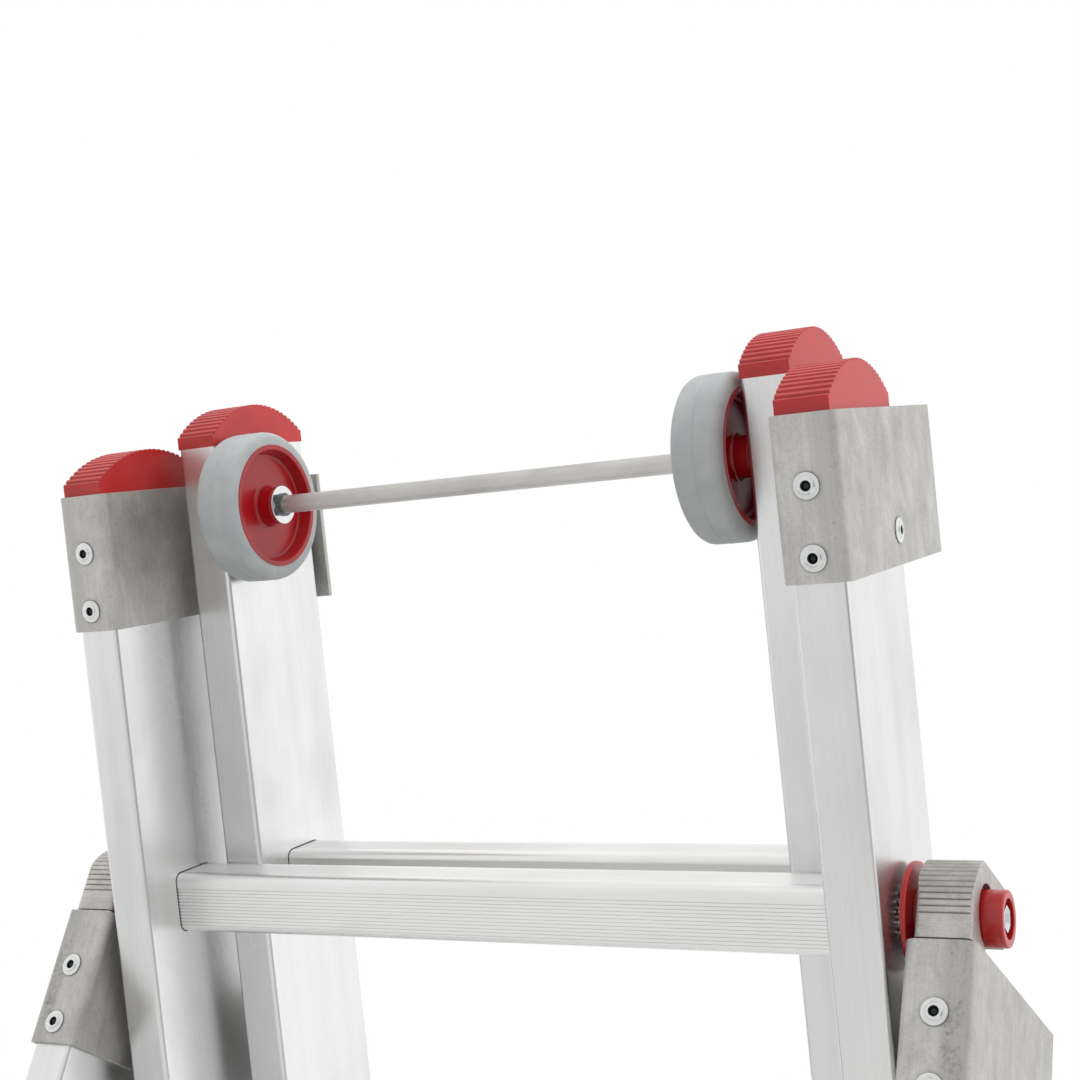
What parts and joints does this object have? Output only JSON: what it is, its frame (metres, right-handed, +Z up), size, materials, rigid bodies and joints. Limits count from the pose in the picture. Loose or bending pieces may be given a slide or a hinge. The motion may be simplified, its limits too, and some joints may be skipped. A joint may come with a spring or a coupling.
{
  "type": "combination ladder",
  "caption": "Combination ladder standing open as a stepladder: a stay section hooked on hinge bushes and a sliding top section with wall wheels nested in the middle section.",
  "frame": {"origin": "on the floor, midway between the outermost feet and on the middle plane", "axes": "+X across the ladder, +Y from the stay's feet to the rear feet, +Z up"},
  "size_m": [0.5208, 1.1202, 1.924],
  "materials": {
    "stile_aluminium": "bright drawn",
    "rung_aluminium": "bright drawn, ribbed",
    "sheet_aluminium": "mill finish sheet",
    "cast_aluminium": "sawn extrusion",
    "axle_aluminium": "brushed",
    "zinc_steel": "zinc plated",
    "red_plastic": "satin moulded",
    "red_gloss_plastic": "gloss moulded",
    "grey_rubber": "matte"
  },
  "bodies": {
    "middle_section": {"middle_left_stile": "stile_aluminium", "middle_right_stile": "stile_aluminium", "middle_rung_1": "rung_aluminium", "middle_rung_2": "rung_aluminium", "middle_rung_3": "rung_aluminium", "middle_rung_4": "rung_aluminium", "middle_rung_5": "rung_aluminium", "middle_rung_6": "rung_aluminium", "middle_left_foot": "red_plastic", "middle_left_cap": "red_plastic", "middle_left_bracket": "sheet_aluminium", "middle_right_foot": "red_plastic", "middle_right_cap": "red_plastic", "middle_right_bracket": "sheet_aluminium", "middle_bracket_rivets": "zinc_steel", "left_hinge_bush": "red_plastic", "left_hinge_bolt": "zinc_steel", "right_hinge_bush": "red_plastic", "right_hinge_bolt": "zinc_steel", "hinge_lock_washers": "zinc_steel", "hinge_anchors": "cast_aluminium"},
    "stay_section": {"stay_left_stile": "stile_aluminium", "stay_right_stile": "stile_aluminium", "stay_rung_1": "rung_aluminium", "stay_rung_2": "rung_aluminium", "stay_rung_3": "rung_aluminium", "stay_rung_4": "rung_aluminium", "stay_rung_5": "rung_aluminium", "stay_rung_6": "rung_aluminium", "stay_left_foot": "red_plastic", "stay_left_bracket": "sheet_aluminium", "stay_right_foot": "red_plastic", "stay_right_bracket": "sheet_aluminium", "stay_bracket_rivets": "zinc_steel", "stay_left_hinge_block": "cast_aluminium", "stay_right_hinge_block": "cast_aluminium"},
    "top_section": {"top_left_stile": "stile_aluminium", "top_right_stile": "stile_aluminium", "top_rung_1": "rung_aluminium", "top_rung_2": "rung_aluminium", "top_rung_3": "rung_aluminium", "top_rung_4": "rung_aluminium", "top_rung_5": "rung_aluminium", "top_rung_6": "rung_aluminium", "top_left_foot": "red_plastic", "top_left_cap": "red_plastic", "top_right_foot": "red_plastic", "top_right_cap": "red_plastic", "wheel_axle": "axle_aluminium", "hub_washers": "zinc_steel", "hub_nuts": "zinc_steel", "hook_pins": "zinc_steel"},
    "left_wheel": {"left_wheel_tyre": "grey_rubber", "left_wheel_rim": "red_gloss_plastic"},
    "right_wheel": {"right_wheel_tyre": "grey_rubber", "right_wheel_rim": "red_gloss_plastic"},
    "left_hook": {"left_rung_hook": "zinc_steel"},
    "right_hook": {"right_rung_hook": "zinc_steel"}
  },
  "joints": [
    {"name": "stay_fold", "type": "hinge", "parent": "middle_section", "child": "stay_section", "pos_m": [0, 0.09483, 1.64625], "axis": [1, 0, 0], "range_deg": [0, 16]},
    {"name": "top_slide", "type": "slide", "parent": "middle_section", "child": "top_section", "axis": [0, -0.2198, 0.9755], "range_m": [0, 0.84]},
    {"name": "left_wheel_turn", "type": "hinge", "parent": "top_section", "child": "left_wheel", "pos_m": [-0.13925, 0.07603, 1.85933], "axis": [1, 0, 0], "continuous": true},
    {"name": "left_hook_swing", "type": "hinge", "parent": "top_section", "child": "left_hook", "pos_m": [-0.152, 0.42952, 0.33167], "axis": [1, 0, 0], "range_deg": [0, 140]},
    {"name": "right_wheel_turn", "type": "hinge", "parent": "top_section", "child": "right_wheel", "pos_m": [0.13925, 0.07603, 1.85933], "axis": [1, 0, 0], "continuous": true},
    {"name": "right_hook_swing", "type": "hinge", "parent": "top_section", "child": "right_hook", "pos_m": [0.152, 0.42952, 0.33167], "axis": [1, 0, 0], "range_deg": [0, 140]}
  ]
}
